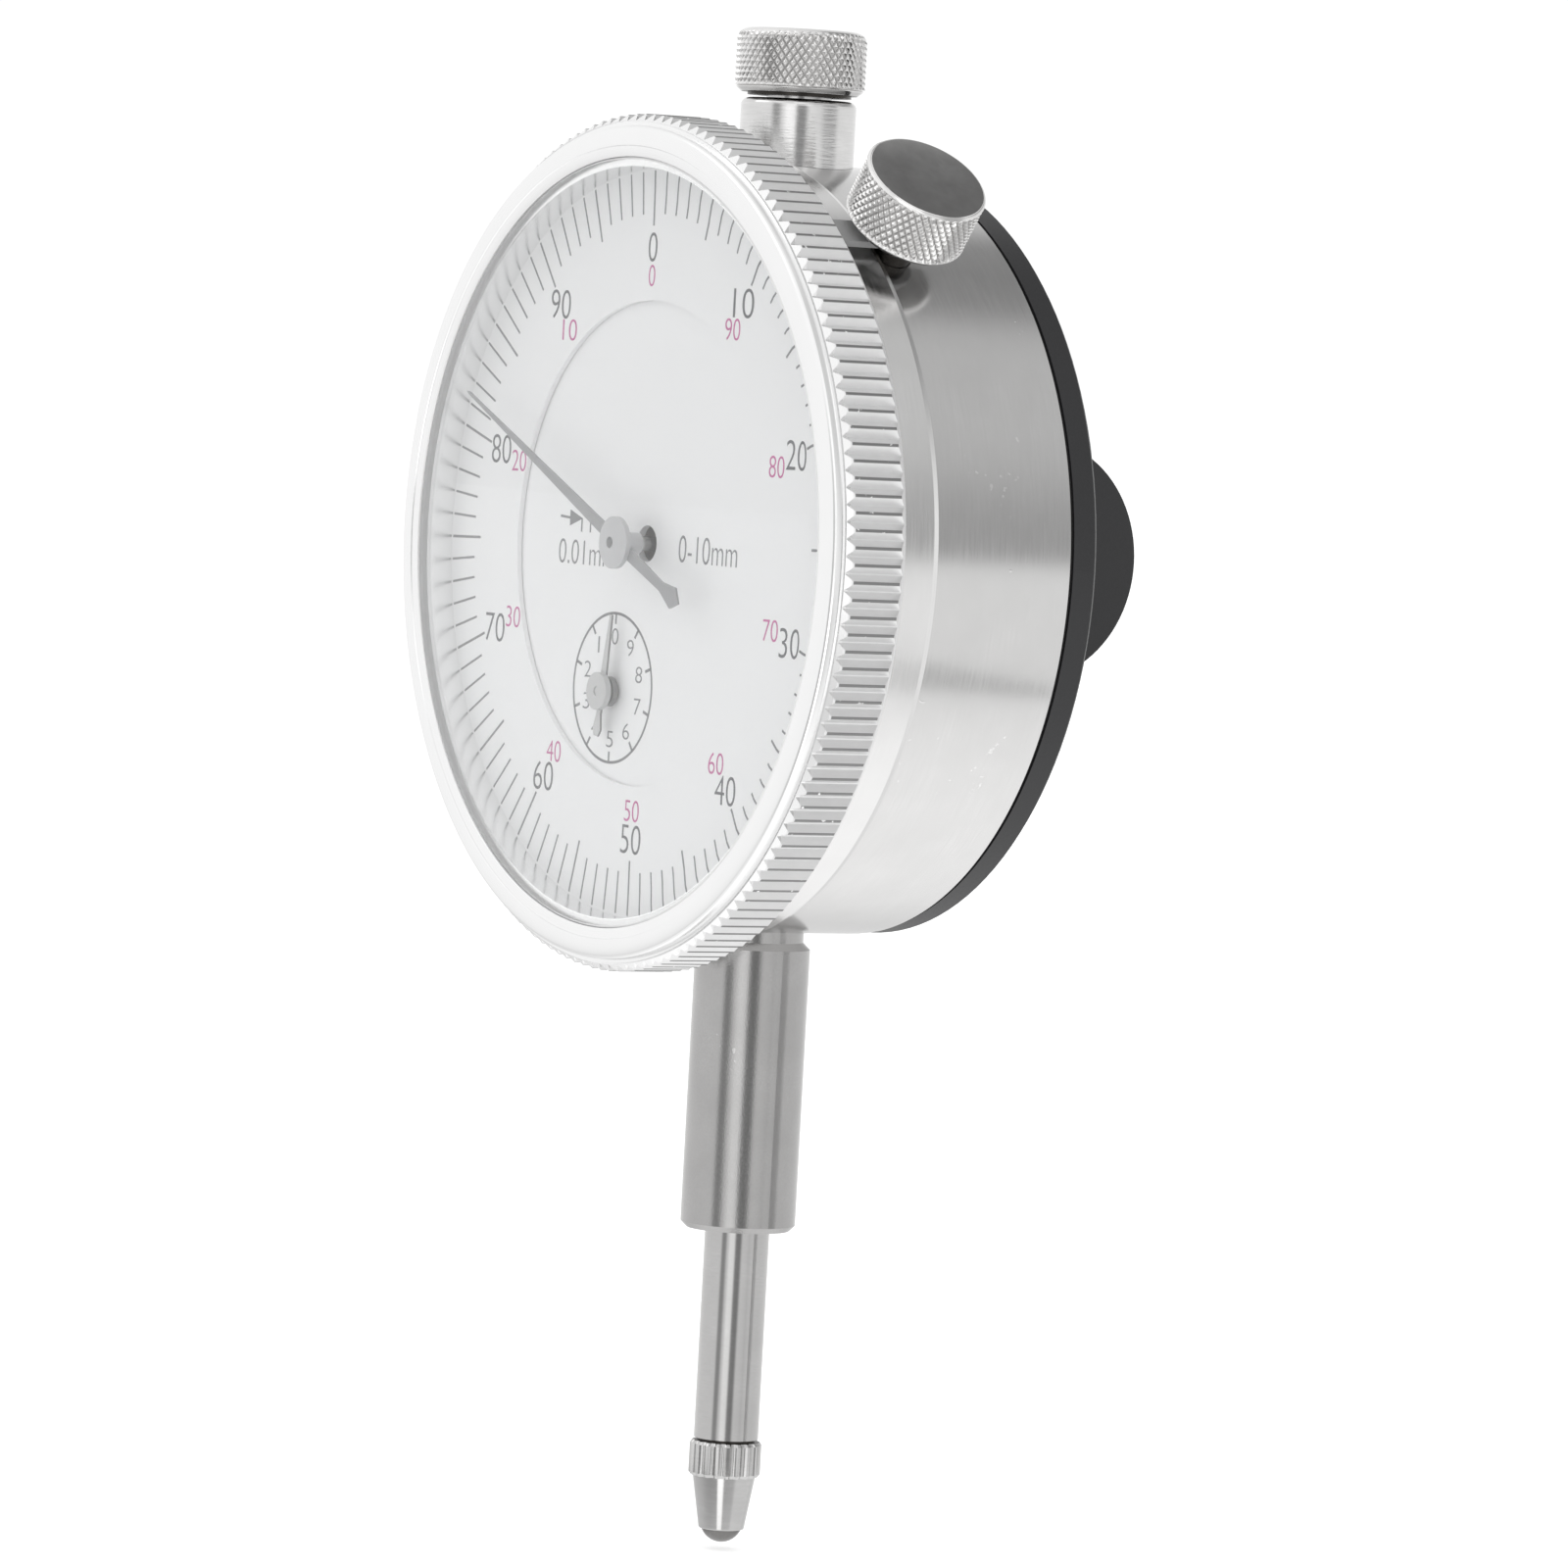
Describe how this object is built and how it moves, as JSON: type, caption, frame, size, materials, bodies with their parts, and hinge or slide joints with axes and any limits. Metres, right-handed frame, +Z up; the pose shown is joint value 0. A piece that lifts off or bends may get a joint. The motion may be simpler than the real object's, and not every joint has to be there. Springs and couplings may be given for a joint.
{
  "type": "dial indicator",
  "caption": "Plunger dial indicator: round case and knurled rotating bezel, clamping stem, spring-loaded plunger with ball contact, geared pointers, back lug and bezel clamp.",
  "frame": {"origin": "on the axis of the clamping stem, at the middle of its exposed length", "axes": "+Z up along the plunger from the contact to the lifting cap, the dial faces -Y, +X to the right as the dial is read"},
  "size_m": [0.0588, 0.0429, 0.1051],
  "materials": {
    "satin_case": "fine satin, silver",
    "ground_steel": "turned and ground",
    "bush_bronze": "reamed",
    "gasket_black": "matt",
    "cover_black": "fine matt black",
    "screw_steel": "turned",
    "plate_brass": "brushed",
    "movement_steel": "polished",
    "spring_steel": "blued",
    "gear_brass": "cut and polished",
    "dial_white": "fine matt, pale silver white, printed",
    "bezel_satin": "satin front, cut grip teeth",
    "crystal_clear": "clear, polished",
    "pointer_grey": "satin grey",
    "knurled_nickel": "satin nickel over knurl",
    "ball_carbide": "polished"
  },
  "bodies": {
    "case": {"case_body": "satin_case", "stem": "ground_steel", "stem_bush": "bush_bronze", "upper_sleeve": "ground_steel", "upper_bush": "bush_bronze", "cover_gasket": "gasket_black", "back_cover": "cover_black", "cover_screws": "screw_steel", "lug": "cover_black", "lug_screws": "screw_steel", "front_plate": "plate_brass", "back_plate": "plate_brass", "centre_bridge": "plate_brass", "pillars": "plate_brass", "plate_screws": "screw_steel", "pivot_bushes": "bush_bronze", "guide_rail": "movement_steel", "centre_disc": "dial_white", "hairspring": "spring_steel", "hairspring_stud": "movement_steel", "return_spring": "spring_steel", "spring_post": "movement_steel"},
    "bezel": {"bezel_ring": "bezel_satin", "crystal": "crystal_clear", "dial_ring": "dial_white", "bezel_spring": "movement_steel"},
    "plunger": {"spindle": "ground_steel", "guide_pin": "movement_steel", "spring_hook": "movement_steel", "contact_point": "knurled_nickel", "contact_ball": "ball_carbide", "lifting_cap": "knurled_nickel"},
    "rack_pinion_set": {"rack_pinion": "gear_brass", "rack_pinion_shaft": "movement_steel", "large_gear": "gear_brass", "small_pointer": "pointer_grey"},
    "pointer_set": {"centre_pinion": "gear_brass", "centre_shaft": "movement_steel", "pointer_hub": "pointer_grey", "main_pointer": "pointer_grey"},
    "takeup_set": {"takeup_gear": "gear_brass", "takeup_shaft": "movement_steel", "hairspring_collet": "gear_brass"},
    "clamp_slider": {"clamp_shoe": "movement_steel"},
    "clamp_screw": {"clamp_knob": "knurled_nickel"}
  },
  "joints": [
    {"name": "spindle_slide", "type": "slide", "parent": "case", "child": "plunger", "axis": [0, 0, 1], "range_m": [0, 0.0104], "stiffness_N_per_m": 40, "springref_m": -0.02, "deforming": ["return_spring"]},
    {"name": "pinion_turn", "type": "hinge", "parent": "case", "child": "rack_pinion_set", "pos_m": [-0.0035, 0, 0.02662], "axis": [0, -1, 0], "range_deg": [0, 376]},
    {"name": "pointer_turn", "type": "hinge", "parent": "case", "child": "pointer_set", "pos_m": [0, 0, 0.03699], "axis": [0, -1, 0], "range_deg": [-3760, 0]},
    {"name": "takeup_turn", "type": "hinge", "parent": "case", "child": "takeup_set", "pos_m": [0.0035, 0, 0.04736], "axis": [0, -1, 0], "range_deg": [0, 376], "deforming": ["hairspring"]},
    {"name": "bezel_turn", "type": "hinge", "parent": "case", "child": "bezel", "pos_m": [0, -0.01, 0.03699], "axis": [0, -1, 0], "continuous": true},
    {"name": "clamp_travel", "type": "slide", "parent": "case", "child": "clamp_slider", "axis": [-0.6293, 0, -0.7771], "range_m": [0, 0.0005]},
    {"name": "clamp_screw_turn", "type": "hinge", "parent": "clamp_slider", "child": "clamp_screw", "pos_m": [0.0197, -0.0027, 0.06131], "axis": [-0.6293, 0, -0.7771], "range_deg": [0, 361]}
  ],
  "couplings": [
    {"joint": "pinion_turn", "follows": "spindle_slide", "rad_per_m": 628.32},
    {"joint": "pointer_turn", "follows": "spindle_slide", "rad_per_m": -6283.2},
    {"joint": "takeup_turn", "follows": "spindle_slide", "rad_per_m": 628.32},
    {"joint": "clamp_screw_turn", "follows": "clamp_travel", "rad_per_m": 12566}
  ]
}
